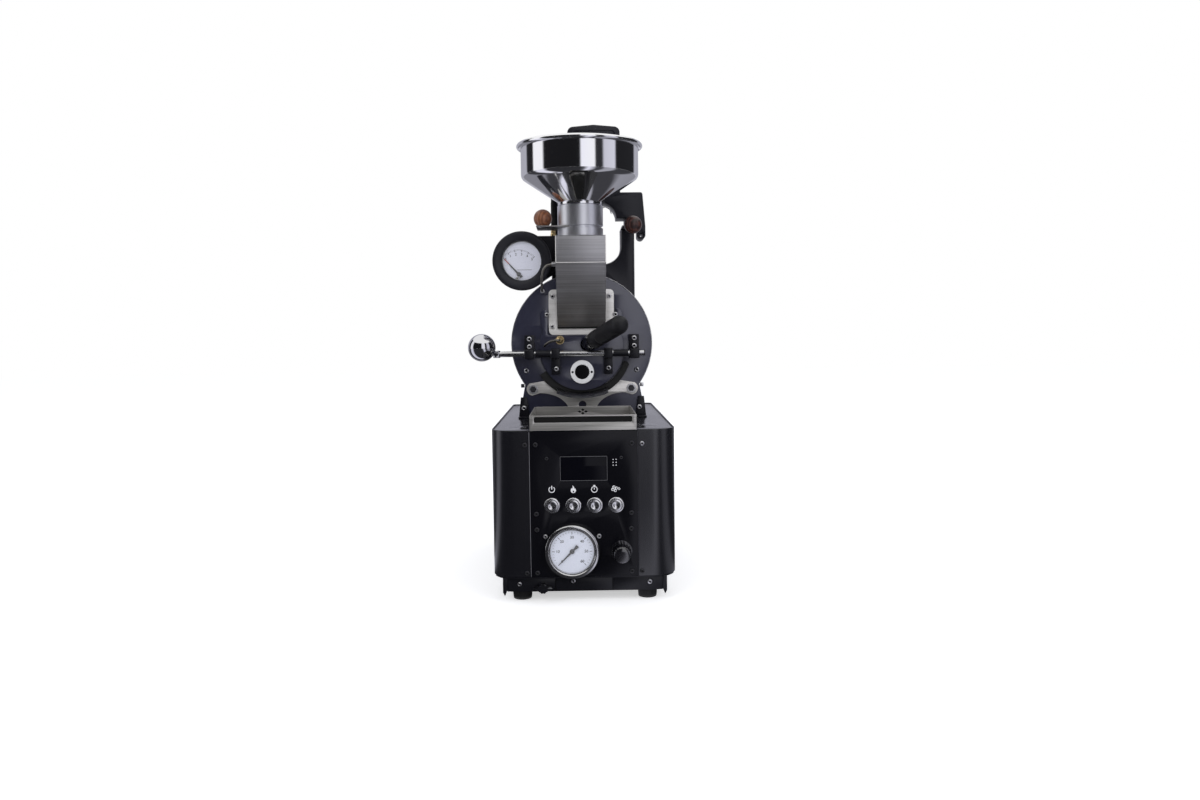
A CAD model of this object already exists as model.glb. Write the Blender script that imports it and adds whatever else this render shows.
import math

import bmesh
import bpy
from mathutils import Matrix, Vector


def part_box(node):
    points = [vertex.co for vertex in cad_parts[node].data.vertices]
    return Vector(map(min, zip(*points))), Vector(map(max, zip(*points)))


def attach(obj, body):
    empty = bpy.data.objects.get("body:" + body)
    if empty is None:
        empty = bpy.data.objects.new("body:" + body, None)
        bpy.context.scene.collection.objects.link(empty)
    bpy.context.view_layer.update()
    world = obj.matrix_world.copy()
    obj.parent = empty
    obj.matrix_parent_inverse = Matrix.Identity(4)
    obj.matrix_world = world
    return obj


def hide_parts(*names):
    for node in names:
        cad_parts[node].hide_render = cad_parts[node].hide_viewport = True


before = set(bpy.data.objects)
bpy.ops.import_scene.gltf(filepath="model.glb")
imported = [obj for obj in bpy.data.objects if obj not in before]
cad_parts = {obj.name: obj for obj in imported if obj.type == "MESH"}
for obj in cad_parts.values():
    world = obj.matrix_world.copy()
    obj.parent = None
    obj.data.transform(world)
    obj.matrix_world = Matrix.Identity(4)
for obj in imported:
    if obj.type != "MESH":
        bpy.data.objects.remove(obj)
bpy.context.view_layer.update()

# The studio: a white floor in a plain grey room, and a camera a good metre in front. The floor, the
# cards and the lamps are measured in metres. All else is in millimetres from the machine's middle,
# its front face and the table, and seat is where these lie in the frame.
mm = 0.001
half_width = 110
left_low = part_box("left_shell")[0]
seat = Vector((left_low[0] + half_width * mm, left_low[1], 0))

camera_place = (-2.6, -1155.2, 326.8)
camera_turn = (85.806, 0.665, -1.182)
camera_data = bpy.data.cameras.new("camera")
camera_data.lens = 29.51
camera_data.sensor_width = 36
camera = bpy.data.objects.new("camera", camera_data)
camera.location = seat + Vector(camera_place) * mm
camera.rotation_euler = [math.radians(turn) for turn in camera_turn]
bpy.context.scene.collection.objects.link(camera)
bpy.context.scene.camera = camera
bpy.context.scene.view_settings.view_transform = "Standard"


def join(tree, node, sockets):
    """Fills a node's sockets, each with a value or with another node's output."""
    for label, value in sockets.items():
        if isinstance(value, bpy.types.NodeSocket):
            tree.links.new(value, node.inputs[label])
        else:
            node.inputs[label].default_value = value


def add(tree, kind, sockets=None, **settings):
    """Adds a shader node with its settings, and fills its sockets."""
    node = tree.nodes.new("ShaderNode" + kind)
    for label, value in settings.items():
        setattr(node, label, value)
    join(tree, node, sockets or {})
    return node


def new_material(name, sockets):
    """A material of one Principled shader. Gives back the material, its nodes and the shader."""
    material = bpy.data.materials.new(name)
    material.use_nodes = True
    tree = material.node_tree
    tree.nodes.clear()
    shader = add(tree, "BsdfPrincipled", sockets)
    add(tree, "OutputMaterial", {"Surface": shader.outputs["BSDF"]})
    return material, tree, shader


def backdrop_rays(tree):
    """A mask of the rays that see the backdrop: straight, by reflection or through glass."""
    path = add(tree, "LightPath")
    mask = path.outputs["Is Camera Ray"]
    for label in ("Is Glossy Ray", "Is Transmission Ray"):
        mask = add(tree, "Math", {0: mask, 1: path.outputs[label]}, operation="MAXIMUM").outputs[0]
    return mask


def stage_piece(name, bm, material):
    mesh = bpy.data.meshes.new(name)
    bm.to_mesh(mesh)
    bm.free()
    mesh.materials.append(material)
    piece = bpy.data.objects.new(name, mesh)
    bpy.context.scene.collection.objects.link(piece)
    return piece


def lay_floor(half_side=6, glow=0.52):
    material, tree, shader = new_material("studio_white", {
        "Base Color": (0.86, 0.86, 0.87, 1), "Roughness": 0.9, "Specular IOR Level": 0,
        "Emission Color": (1, 1, 1, 1)})
    seen = add(tree, "Math", {0: backdrop_rays(tree), 1: glow}, operation="MULTIPLY")
    join(tree, shader, {"Emission Strength": seen.outputs[0]})
    bm = bmesh.new()
    bmesh.ops.create_grid(bm, size=half_side)
    stage_piece("studio_floor", bm, material)


def light_room():
    world = bpy.data.worlds.new("studio_room")
    bpy.context.scene.world = world
    world.use_nodes = True
    tree = world.node_tree
    tree.nodes.clear()
    room = add(tree, "Background", {"Color": (0.55, 0.56, 0.59, 1)})
    backdrop = add(tree, "Background", {"Color": (1, 1, 1, 1)})
    either = add(tree, "MixShader", {0: backdrop_rays(tree), 1: room.outputs[0],
                                     2: backdrop.outputs[0]})
    add(tree, "OutputWorld", {"Surface": either.outputs[0]})


lay_floor()
light_room()

# Grey cards stand round the machine and lie on the table, and only shiny surfaces see them. Each
# stop is a direction, in degrees from the front and to the right, and the card's grey there. Three
# soft square lamps light the machine evenly and don't show in its metal.
ring_greys = (
    (-180, 0.52), (-150, 0.42), (-124, 0.45), (-119, 0.02), (-100, 0.015), (-97, 1.0), (-74, 1.0),
    (-70, 0.012), (1, 0.01), (3.5, 0.95), (28, 1.0), (31, 0.03), (43, 0.03), (47, 0.62), (69, 0.70),
    (73, 0.015), (126, 0.02), (132, 0.45), (150, 0.42), (180, 0.52),
)
table_greys = (
    (-180, 0.24), (-124, 0.24), (-119, 0.05), (-98, 0.04), (-90, 0.8), (-74, 0.8), (-64, 0.03),
    (2, 0.03), (9, 0.10), (18, 0.85), (26, 0.45), (33, 0.05), (43, 0.06), (50, 0.35), (67, 0.4),
    (76, 0.05), (118, 0.05), (130, 0.3), (180, 0.24),
)
ring_radius, ring_height = 3, 2.6
table_radius, table_lift = 2.9, 0.003


def card_material(name, greys):
    """A card that glows in its own greys, by the direction from the machine."""
    material, tree, shader = new_material(name, {
        "Base Color": (0, 0, 0, 1), "Specular IOR Level": 0, "Emission Strength": 1})
    place = add(tree, "SeparateXYZ", {0: add(tree, "TexCoord").outputs["Object"]})
    ahead = add(tree, "Math", {0: place.outputs["Y"], 1: -1}, operation="MULTIPLY")
    bearing = add(tree, "Math", {0: place.outputs["X"], 1: ahead.outputs[0]}, operation="ARCTAN2")
    share = add(tree, "MapRange", {"Value": bearing.outputs[0], "From Min": -math.pi,
                                   "From Max": math.pi})
    bands = add(tree, "ValToRGB", {"Fac": share.outputs["Result"]})
    stops = bands.color_ramp.elements
    while len(stops) < len(greys):
        stops.new(0.5)
    for stop, (degrees, grey) in zip(stops, greys):
        stop.position = (degrees + 180) / 360
        stop.color = (grey * 0.96, grey * 0.96, min(grey * 1.10, 1), 1)
    join(tree, shader, {"Emission Color": bands.outputs["Color"]})
    return material


def set_cards():
    ring = bmesh.new()
    bmesh.ops.create_cone(ring, cap_ends=False, segments=96, radius1=ring_radius,
                          radius2=ring_radius, depth=ring_height)
    ring.transform(Matrix.Translation((0, 0, ring_height / 2)))
    table = bmesh.new()
    bmesh.ops.create_circle(table, cap_ends=True, segments=96, radius=table_radius)
    table.transform(Matrix.Translation((0, 0, table_lift)))
    for card in (stage_piece("studio_cards", ring, card_material("card_greys", ring_greys)),
                 stage_piece("studio_table_card", table, card_material("table_grey", table_greys))):
        card.visible_camera = False
        card.visible_diffuse = False
        card.visible_transmission = False
        card.visible_shadow = False


def hang_lamp(name, place, watts, size=1.6, target=(0, 0, 0.3)):
    lamp_data = bpy.data.lights.new(name, "AREA")
    lamp_data.shape = "SQUARE"
    lamp_data.size = size
    lamp_data.energy = watts
    lamp = bpy.data.objects.new(name, lamp_data)
    lamp.location = place
    aim = Vector(target) - lamp.location
    lamp.rotation_euler = aim.to_track_quat("-Z", "Y").to_euler()
    lamp.visible_glossy = False
    bpy.context.scene.collection.objects.link(lamp)


set_cards()
hang_lamp("lamp_front_left", (-1.5, -1.9, 1.5), 17)
hang_lamp("lamp_front_right", (1.6, -1.8, 1.1), 15)
hang_lamp("lamp_behind", (0.4, 2.0, 1.8), 14)

# The chassis pan is a folded steel tray under the cabinet, powder coated in satin black. It stands
# on four rubber feet that are screwed up into its floor. Its front skirt is made of three plates.
upward, rightward, inward, outward = (0, 0, 1), (1, 0, 0), (0, 1, 0), (0, -1, 0)
smooth_up_to = math.radians(32)


def effect(name, inputs, outputs):
    """An empty shader group with named float inputs and outputs."""
    group = bpy.data.node_groups.new(name, "ShaderNodeTree")
    for label, value in inputs.items():
        socket = group.interface.new_socket(label, in_out="INPUT", socket_type="NodeSocketFloat")
        socket.default_value = value
    for label in outputs:
        group.interface.new_socket(label, in_out="OUTPUT", socket_type="NodeSocketFloat")
    return group, group.nodes.new("NodeGroupInput"), group.nodes.new("NodeGroupOutput")


def make_coat_grain():
    """Fine orange peel of a sprayed coat, with broad patches that are a little duller."""
    group, into, out = effect("coat_grain", {"Peel Scale": 900.0, "Gloss": 0.35, "Dulling": 0.12},
                              ("Height", "Roughness"))
    place = add(group, "TexCoord").outputs["Object"]
    peel = add(group, "TexNoise", {"Vector": place, "Scale": into.outputs["Peel Scale"],
                                   "Detail": 2})
    patches = add(group, "TexNoise", {"Vector": place, "Scale": 14, "Detail": 4})
    duller = add(group, "Math", {0: patches.outputs["Fac"], 1: into.outputs["Dulling"],
                                 2: into.outputs["Gloss"]}, operation="MULTIPLY_ADD")
    join(group, out, {"Height": peel.outputs["Fac"], "Roughness": duller.outputs[0]})
    return group


coat_grain = make_coat_grain()


def raised(tree, grain, depth, height):
    """The normal of a surface that a grain's marks raise by so many millimetres."""
    return add(tree, "Bump", {"Strength": depth, "Distance": height * mm,
                              "Height": grain.outputs["Height"]}).outputs["Normal"]


def coated(name, colour, gloss, depth=0.04, coat=0.0, dulling=0.12, peel=900, reflect=0.5):
    """A sprayed or moulded surface: its colour, shine, depth of peel and how much it reflects."""
    material, tree, shader = new_material(name, {
        "Base Color": (*colour, 1), "Specular IOR Level": reflect, "Coat Weight": coat,
        "Coat Roughness": 0.12})
    grain = add(tree, "Group", {"Peel Scale": peel, "Gloss": gloss, "Dulling": dulling},
                node_tree=coat_grain)
    join(tree, shader, {"Roughness": grain.outputs["Roughness"],
                        "Normal": raised(tree, grain, depth, 0.1)})
    return material


satin_black = coated("satin_black_coat", (0.007, 0.007, 0.010), 0.25, depth=0.08, reflect=0.34)
shell_black = coated("shell_satin_black", (0.006, 0.006, 0.009), 0.18, depth=0.004, reflect=0.95)
rubber = coated("black_rubber", (0.012, 0.012, 0.012), 0.62, depth=0.25, peel=1500)


def round_edges(piece, width, segments=2):
    bevel = piece.modifiers.new("rounded_edges", "BEVEL")
    bevel.width = width * mm
    bevel.segments = segments
    bevel.limit_method = "ANGLE"
    bevel.angle_limit = math.radians(40)


def dress(node, material, edge=0.0, segments=2):
    """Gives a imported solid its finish, and rounded edges if it has sharp ones that show."""
    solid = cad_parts[node]
    for index in range(max(len(solid.data.materials), 1)):
        if solid.data.materials:
            solid.data.materials[index] = material
        else:
            solid.data.materials.append(material)
    if edge:
        round_edges(solid, edge, segments)


def make_piece(name, bm, material, *nodes, slot=None, body="base"):
    """Makes an object of a mesh in millimetres. It rides on its body and stands for its nodes."""
    bm.transform(Matrix.Scale(mm, 4))
    bmesh.ops.recalc_face_normals(bm, faces=bm.faces)
    mesh = bpy.data.meshes.new(name)
    bm.to_mesh(mesh)
    bm.free()
    mesh.shade_smooth()
    mesh.set_sharp_from_angle(angle=smooth_up_to)
    mesh.materials.append(material)
    piece = bpy.data.objects.new(name, mesh)
    piece.location = seat
    bpy.context.scene.collection.objects.link(piece)
    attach(piece, body)
    if nodes:
        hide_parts(*nodes)
    return piece


def aimed(start, axis):
    """The turn and shift that stand an upright shape at a place, along an axis."""
    turn = Vector(upward).rotation_difference(Vector(axis)).to_matrix().to_4x4()
    return Matrix.Translation(Vector(start)) @ turn


def spun(profile, start=(0, 0, 0), axis=upward, facets=96):
    """Turns a profile of (radius, along) points. It ends on the axis, or closes on itself."""
    bm = bmesh.new()
    points = [bm.verts.new((radius, 0, along)) for radius, along in profile]
    edges = [bm.edges.new(pair) for pair in zip(points, points[1:])]
    if profile[0][0] > 0:
        edges.append(bm.edges.new((points[-1], points[0])))
    bmesh.ops.spin(bm, geom=points + edges, cent=(0, 0, 0), axis=upward, angle=math.tau,
                   steps=facets, use_merge=True)
    bmesh.ops.remove_doubles(bm, verts=bm.verts, dist=0.001)
    bm.transform(aimed(start, axis))
    return bm


def rod(radius, low, high):
    """The profile of a plain round bar."""
    return [(0, low), (radius, low), (radius, high), (0, high)]


def gather(bm, *others):
    """Adds other meshes to one."""
    for other in others:
        mesh = bpy.data.meshes.new("spare")
        other.to_mesh(mesh)
        other.free()
        bm.from_mesh(mesh)
        bpy.data.meshes.remove(mesh)
    return bm


def bar(low, high, edge=0.4, segments=2):
    """A block between two corners with rounded edges."""
    bm = bmesh.new()
    bmesh.ops.create_cube(bm, size=1)
    size = [top - bottom for bottom, top in zip(low, high)]
    middle = [(top + bottom) / 2 for bottom, top in zip(low, high)]
    bm.transform(Matrix.Translation(middle) @ Matrix.Diagonal((*size, 1)))
    bmesh.ops.bevel(bm, geom=list(bm.edges), offset=edge, segments=segments, affect="EDGES",
                    profile=0.5)
    return bm


foot_profile = [(0, 0), (9.6, 0), (10.8, 0.5), (11.2, 1.6), (11.9, 11.2), (11.6, 12), (0, 12)]
sole_ring = [(9.3, 0.6), (9.3, 0.1), (5, 0.1), (5, 0.6)]
for row, depth in (("front", 25), ("rear", 385)):
    for side, across in (("left", -76), ("right", 76)):
        place = (across, depth, 0)
        foot = gather(spun(foot_profile, place, facets=48), spun(sole_ring, place, facets=48))
        make_piece(f"rubber_foot_{row}_{side}", foot, rubber, f"foot_{row}_{side}", slot="rubber")

dress("chassis_pan", satin_black, 0.4)
skirt = gather(bar((-93, 4.2, 13.2), (-36, 5.7, 29), 0.3),
               bar((-35, 4.5, 13.2), (32.5, 5.7, 29), 0.3),
               bar((33.5, 4.2, 13.2), (93, 5.7, 29), 0.3))
make_piece("skirt_plates", skirt, satin_black, slot="black_coat")
recess_dark = coated("screw_recess", (0.01, 0.01, 0.01), 0.6, depth=0.0, reflect=0.1)


def screw_heads(name, places, radius, material, axis=outward, height=1.6, body="base"):
    """Button-head screws with a dark hexagon recess, whose undersides lie at the given places."""
    inner = radius * 0.44
    dome = [(inner, 0), (inner, height * 0.9), (radius * 0.58, height),
            (radius * 0.86, height * 0.72), (radius, height * 0.2), (radius, 0)]
    recess = [(0, height * 0.55), (inner * 1.04, height * 0.55), (inner * 1.04, 0), (0, 0)]
    bm = bmesh.new()
    for place in places:
        pit = spun(recess, place, axis, 6)
        for face in pit.faces:
            face.material_index = 1
        gather(bm, spun(dome, place, axis, 24), pit)
    screws = make_piece(name, bm, material, body=body)
    screws.data.materials.append(recess_dark)


def polished(name, colour, roughness, dulling=0.06):
    """Bright metal with faint handling marks that change its shine."""
    material, tree, shader = new_material(name, {"Base Color": (*colour, 1), "Metallic": 1})
    grain = add(tree, "Group", {"Peel Scale": 300, "Gloss": roughness, "Dulling": dulling},
                node_tree=coat_grain)
    join(tree, shader, {"Roughness": grain.outputs["Roughness"]})
    return material


screw_steel = polished("screw_steel", (0.80, 0.80, 0.81), 0.30)
screw_black = coated("black_oxide_screw", (0.02, 0.02, 0.024), 0.30, depth=0.02)
screw_heads("skirt_screws", [(-78.4, 4.2, 22), (77.7, 4.2, 22.9)], 3, screw_steel)

# Each side shell is one sheet, rolled round the front corner and folded at the back. The satin
# black coat on it shows soft upright reflections along the rolled corner.
shell_low, shell_high, shell_sheet = 31, 207, 1.5


def swept_sheet(outline, low, high):
    """An upright sheet whose plan is a closed outline."""
    bm = bmesh.new()
    lower, upper = [[bm.verts.new((across, depth, height)) for across, depth in outline]
                    for height in (low, high)]
    for index in range(len(outline)):
        after = (index + 1) % len(outline)
        bm.faces.new((lower[index], lower[after], upper[after], upper[index]))
    bm.faces.new(lower)
    bm.faces.new(upper)
    return bm


def arc(centre, radius, start_deg, end_deg, steps=16):
    sweep = end_deg - start_deg
    turns = [math.radians(start_deg + sweep * step / steps) for step in range(steps + 1)]
    return [(centre[0] + radius * math.cos(turn), centre[1] + radius * math.sin(turn))
            for turn in turns]


def shell_face(inset):
    """One face of the sheet from above: the seam, the rolled corner, the side and the back fold."""
    return ([(-64.3, inset), (-78, inset)] + arc((-82, 28), 28 - inset, 270, 180)
            + [(inset - half_width, 60), (inset - half_width, 380)]
            + arc((-102, 402), 8 - inset, 180, 90, 8) + [(-92, 410 - inset)])


for name, side in (("left_shell", -1), ("right_shell", 1)):
    shell_plan = [(-side * across, depth)
                  for across, depth in shell_face(0) + shell_face(shell_sheet)[::-1]]
    sheet = swept_sheet(shell_plan, shell_low, shell_high)
    round_edges(make_piece(f"rolled_{name}", sheet, shell_black, name, slot="black_coat"), 0.4)

# The control panel is a flat plate between the shells, gloss black, held by dark screws. Four faint
# screw pairs show beside the seams, and three bright screws hold the gauge. The seams' cut edges
# catch the light, and the skirt under the panel ends in two pointed tips.


def mesh_of(data):
    """Turns a curve or a text into a mesh in hand."""
    holder = bpy.data.objects.new("holder", data)
    bpy.context.scene.collection.objects.link(holder)
    depsgraph = bpy.context.evaluated_depsgraph_get()
    mesh = bpy.data.meshes.new_from_object(holder.evaluated_get(depsgraph))
    bpy.data.objects.remove(holder, do_unlink=True)
    bm = bmesh.new()
    bm.from_mesh(mesh)
    bpy.data.meshes.remove(mesh)
    return bm


quarter_up = Matrix.Rotation(math.radians(90), 4, "X")
facing = {"X": (rightward, Matrix(((0, 0, 1, 0), (1, 0, 0, 0), (0, 1, 0, 0), (0, 0, 0, 1)))),
          "Y": (inward, quarter_up), "Z": (upward, Matrix())}


def plate(outline, low, high, holes=(), axis="Y", edge=0.3):
    """A flat plate with rounded edges and holes, from one place to another along its axis."""
    data = bpy.data.curves.new("plate", "CURVE")
    data.dimensions = "2D"
    data.fill_mode = "BOTH"
    data.extrude = (high - low) / 2 - edge
    data.bevel_depth = edge
    data.bevel_resolution = 1
    data.offset = -edge
    for points in (outline, *holes):
        spline = data.splines.new("POLY")
        spline.points.add(len(points) - 1)
        for point, (across, up) in zip(spline.points, points):
            point.co = (across, up, 0, 1)
        spline.use_cyclic_u = True
    bm = mesh_of(data)
    bmesh.ops.remove_doubles(bm, verts=bm.verts, dist=0.002)
    direction, turn = facing[axis]
    bm.transform(Matrix.Translation(Vector(direction) * (low + high) / 2) @ turn)
    return bm


def block(low, high, radius=0.0, steps=4):
    """A rectangle from its low to its high corner, with round corners if a radius is given."""
    (left, bottom), (right, top) = low, high
    if not radius:
        return [(left, bottom), (right, bottom), (right, top), (left, top)]
    corners = (((left + radius, bottom + radius), 180), ((right - radius, bottom + radius), 270),
               ((right - radius, top - radius), 0), ((left + radius, top - radius), 90))
    return [point for centre, start in corners
            for point in arc(centre, radius, start, start + 90, steps)]


def circle(centre, radius, count=48):
    return arc(centre, radius, 0, 360 * (count - 1) / count, count - 1)


panel_black = coated("panel_black", (0.004, 0.004, 0.006), 0.18, depth=0.04, dulling=0.08,
                     reflect=0.22)
button_columns = (-38.1, -12.7, 12.7, 38.1)
button_height = 117
gauge = (-15, 62)
knob_place = (44, 62)
panel_holes = [block((-28.2, 146.1), (28.2, 175.9), 0.8), circle(gauge, 28.7, 64),
               circle(knob_place, 5.6, 32)]
panel_holes += [circle((across, button_height), 7.4, 40) for across in button_columns]
make_piece("gloss_control_panel", plate(block((-63.7, 31), (63.7, 205.6)), 0, 2, panel_holes),
           panel_black, "control_panel", slot="black_coat")

make_piece("left_seam_edge", bar((-64.3, -0.12, 31.6), (-63.85, 0.4, 205.2), 0.1, 1),
           coated("bare_cut_edge", (0.20, 0.20, 0.22), 0.35, depth=0.02))
make_piece("right_seam_edge", bar((63.9, -0.05, 31.6), (64.25, 0.4, 205.2), 0.1, 1),
           coated("coated_cut_edge", (0.05, 0.05, 0.06), 0.35, depth=0.02))
tip_plan = ((93.4, 30.4), (98.4, 30.4), (98.4, 12), (96, 7.6), (93.4, 14))
tips = [plate([(side * across, up) for across, up in tip_plan], 4.4, 5.8, edge=0.2)
        for side in (-1, 1)]
make_piece("skirt_tips", gather(*tips), satin_black)
screw_heads("panel_screws_dark", [
    (-69.4, 0, 189.8), (-56.8, 0, 190.1), (57.1, 0, 190.6), (-56.8, 0, 107.3), (56.2, 0, 107.5),
    (-56.5, 0, 88.4), (55.9, 0, 88.6), (-68.8, 0, 36.2), (-56.3, 0, 36.3), (56.3, 0, 37),
    (68.2, 0, 36.8)], 2.9, screw_black, height=1.4)
screw_heads("panel_screws_small", [(-43.7, 0, 173.4), (44.5, 0, 173.6)], 2.1, screw_black, height=1)
screw_heads("panel_screws_bright", [(69.2, 0, 190.1), (-46.5, 0, 80.1), (17.4, 0, 79.9),
                                    (-14.2, 4.2, 25)], 2.9, screw_steel)

# The display sits in a window of the panel, behind a smoked pane with a thin grey edge. Six pinhole
# lamps lie to its right, and a white pictogram is printed over each button.
pane_black = coated("smoked_pane", (0.003, 0.003, 0.005), 0.06, depth=0.0, dulling=0.02,
                    reflect=0.12)
print_white = coated("printed_white", (0.80, 0.80, 0.82), 0.5, depth=0.02)
edge_grey = coated("pane_edge", (0.10, 0.10, 0.11), 0.35, depth=0.02)
make_piece("display_pane", gather(bar((-27.5, 0.7, 146.9), (27.5, 2.3, 175.1), 0.2),
                                  bar((-31, 2.4, 143), (31, 19.6, 179), 0.8)),
           pane_black, "display_module", slot="gloss_plastic")
make_piece("display_edge", plate(block((-28, 146.4), (28, 175.6), 0.8), -0.1, 1.2,
                                 [block((-27.5, 146.9), (27.5, 175.1), 0.5)], edge=0.1), edge_grey)


def thin(outline, holes=()):
    """A print on the panel's face."""
    return plate(outline, -0.16, 0.05, holes, edge=0.02)


lamps = [thin(circle((across, up), 0.62, 16))
         for across in (34.9, 38.5) for up in (171.4, 167.9, 164.5)]
make_piece("pinhole_lamps", gather(*lamps), print_white)
icon_height = 136.4
icon_size = 1.14


def icon(across, *shapes):
    """Thin prints drawn round an icon's own middle: each shape is an outline with its holes."""
    bm = bmesh.new()
    for shape in shapes:
        outline, *holes = [[(across + icon_size * x, icon_height + icon_size * up)
                            for x, up in points] for points in shape]
        gather(bm, thin(outline, holes))
    return bm


power_ring = arc((0, 0), 3.4, -235, 55, 28) + arc((0, 0), 2.6, 55, -235, 28)
flame = ((-2.6, -2.2), (-1.9, -3.4), (-0.2, -4), (1.4, -3.6), (2.5, -2.5), (2.8, -1), (2.2, 0.4),
         (1.4, 1.2), (1.1, 0.2), (0.9, 1.9), (0.1, 3.3), (-0.9, 4.1), (-0.6, 2.6), (-0.9, 1.2),
         (-1.5, 0.4), (-1.7, 1.3), (-2.3, 0.6), (-2.8, -0.6))
blades = [(2 * math.cos(turn) - 1, 2 * math.sin(turn))
          for turn in [math.radians(90 * quarter + 20) for quarter in range(4)]]
icons = gather(
    icon(-38.1, [power_ring], [block((-0.5, 0.1), (0.5, 4))]),
    icon(-12.6, [flame, circle((0.1, -2.3), 0.9, 16)]),
    icon(12.3, [circle((0, -0.4), 3.4), circle((0, -0.4), 2.65)], [block((-1.1, 3.1), (1.1, 4.2))],
         [block((-0.4, -0.7), (0.4, 1.4))]),
    icon(37.4, *[[circle((x, up), 1.5, 20), circle((x + 0.2, up - 0.1), 0.85, 12)]
                 for x, up in blades]),
    icon(41.6, [[(0, 1.6), (-1.5, 0), (0, -1.6), (1.5, 0)],
                [(0, 0.9), (-0.85, 0), (0, -0.9), (0.85, 0)]]))
make_piece("panel_pictograms", icons, print_white)

# Four push buttons of polished steel. Each has a domed cap with a dished middle, in a bezel ring
# that is clamped to the panel and doesn't move.
button_steel = polished("button_steel", (0.86, 0.86, 0.87), 0.20)


def turned(profile, place, facets=96):
    """Turns a profile of (radius, depth) points about a line that runs into the machine."""
    return spun(profile, (place[0], 0, place[1]), inward, facets)


cap_profile = [(0, -2.2), (2.6, -2.5), (3.4, -3.1), (5.2, -3.4), (6.6, -2.9), (7.1, -1.9),
               (7.1, 2.2), (0, 2.2)]
stem_profile = [(0, 2.3), (8.6, 2.3), (8.6, 3.8), (3, 3.8), (3, 12.2), (0, 12.2)]
bezel_profile = [(7.5, 0), (7.5, -1.6), (7.9, -2.1), (8.8, -1.9), (9.4, -1.2), (9.4, 0)]
for index, across in enumerate(button_columns, 1):
    place = (across, button_height)
    make_piece(f"button_cap_{index}", gather(turned(cap_profile, place, 64),
                                             turned(stem_profile, place, 32)),
               button_steel, f"push_button_{index}", slot="polished_steel", body=f"button_{index}")
    make_piece(f"button_bezel_{index}", turned(bezel_profile, place, 64), button_steel)

# The pressure gauge: a stainless case with a rolled bezel, a white printed dial with plain figures,
# and a black pointer under a clear lens. Three screws round it clamp its flange.
gauge_steel = polished("gauge_steel", (0.66, 0.66, 0.66), 0.18)
dial_white = coated("gauge_dial", (0.76, 0.79, 0.90), 0.45, depth=0.02, dulling=0.1)
ink = coated("dial_ink", (0.02, 0.02, 0.025), 0.5, depth=0.0)
lens_glass = new_material("gauge_glass", {
    "Base Color": (1, 1, 1, 1), "Roughness": 0.02, "IOR": 1.45, "Alpha": 0.06,
    "Specular IOR Level": 0.6})[0]
figure_size = 4.6


def figure(number, centre, depth, bold):
    """A plain figure as a thin mesh, facing the front."""
    data = bpy.data.curves.new("figures", "FONT")
    data.body = str(number)
    data.size = figure_size
    data.align_x = "CENTER"
    data.align_y = "CENTER"
    data.extrude = 0.03
    data.offset = bold
    data.resolution_u = 3
    bm = mesh_of(data)
    bm.transform(Matrix.Translation((centre[0], depth, centre[1])) @ quarter_up)
    return bm


def tick(centre, turn_deg, inner, outer, width, depth):
    """A radial mark on a dial."""
    turn = math.radians(turn_deg)
    out = Vector((math.cos(turn), 0, math.sin(turn)))
    side = Vector((-out.z, 0, out.x)) * width / 2
    foot = Vector((centre[0], depth, centre[1]))
    bm = bmesh.new()
    corners = (foot + out * inner - side, foot + out * outer - side, foot + out * outer + side,
               foot + out * inner + side)
    bm.faces.new([bm.verts.new(corner) for corner in corners])
    return bm


def round_dial(centre, radius, turn_deg):
    turn = math.radians(turn_deg)
    return centre[0] + radius * math.cos(turn), centre[1] + radius * math.sin(turn)


case_profile = [
    (0, -1.4), (26.2, -1.4), (26.2, -4.9), (27.2, -4.9), (27.4, -6.2), (28.2, -6.9), (29.4, -7),
    (31, -6.7), (32, -5.8), (32.3, -4.6), (32.3, -0.9), (32, -0.3), (28.4, -0.3), (28.4, 29),
    (27.4, 30), (6, 30), (6, 42), (0, 42)]
make_piece("gauge_case_steel", turned(case_profile, gauge, 128), gauge_steel, "pressure_gauge_case",
           slot="polished_steel")
make_piece("gauge_dial_face", turned(rod(26, -1.5, -1.41), gauge), dial_white)
first_turn, marks_depth = 225, -1.56
marks = bmesh.new()
for step in range(31):
    inner, width = (20.6, 0.7) if step % 5 == 0 else (22.2, 0.35)
    gather(marks, tick(gauge, first_turn - step * 9, inner, 23.8, width, marks_depth))
for step in range(7):
    spot = round_dial(gauge, 17, first_turn - step * 45)
    gather(marks, figure(step * 10, spot, marks_depth, 0.09))
make_piece("gauge_dial_marks", marks, ink)
make_piece("gauge_lens_glass", turned(rod(26.9, -6, -4.8), gauge), lens_glass,
           "pressure_gauge_lens", slot="clear_glass")


def pointer(name, centre, length, tail, turn_deg, front, back, body, node):
    """A thin pointer with a round counterweight on its tail, and a stepped hub."""
    turn = math.radians(turn_deg)
    out = Vector((math.cos(turn), math.sin(turn)))
    side = Vector((-out.y, out.x))
    middle = Vector(centre)
    shape = [(length, 0.35), (length * 0.2, 1.05), (-tail * 0.55, 1.1), (-tail * 0.7, 1.9),
             (-tail, 1.9)]
    left = [middle + out * along + side * half for along, half in shape]
    right = [middle + out * along - side * half for along, half in reversed(shape)]
    hand = plate([tuple(point) for point in left + right], front, front + 0.7, edge=0.05)
    hub = turned([(0, back), (2.9, back), (2.9, front), (2.2, front - 0.5), (0, front - 0.5)],
                 centre, 40)
    make_piece(name, gather(hand, hub), ink, node, slot="black_plastic", body=body)


pointer("gauge_pointer", gauge, 22, 9.5, first_turn, -3.2, -1.8, "pressure_needle",
        "pressure_gauge_needle")

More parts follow.
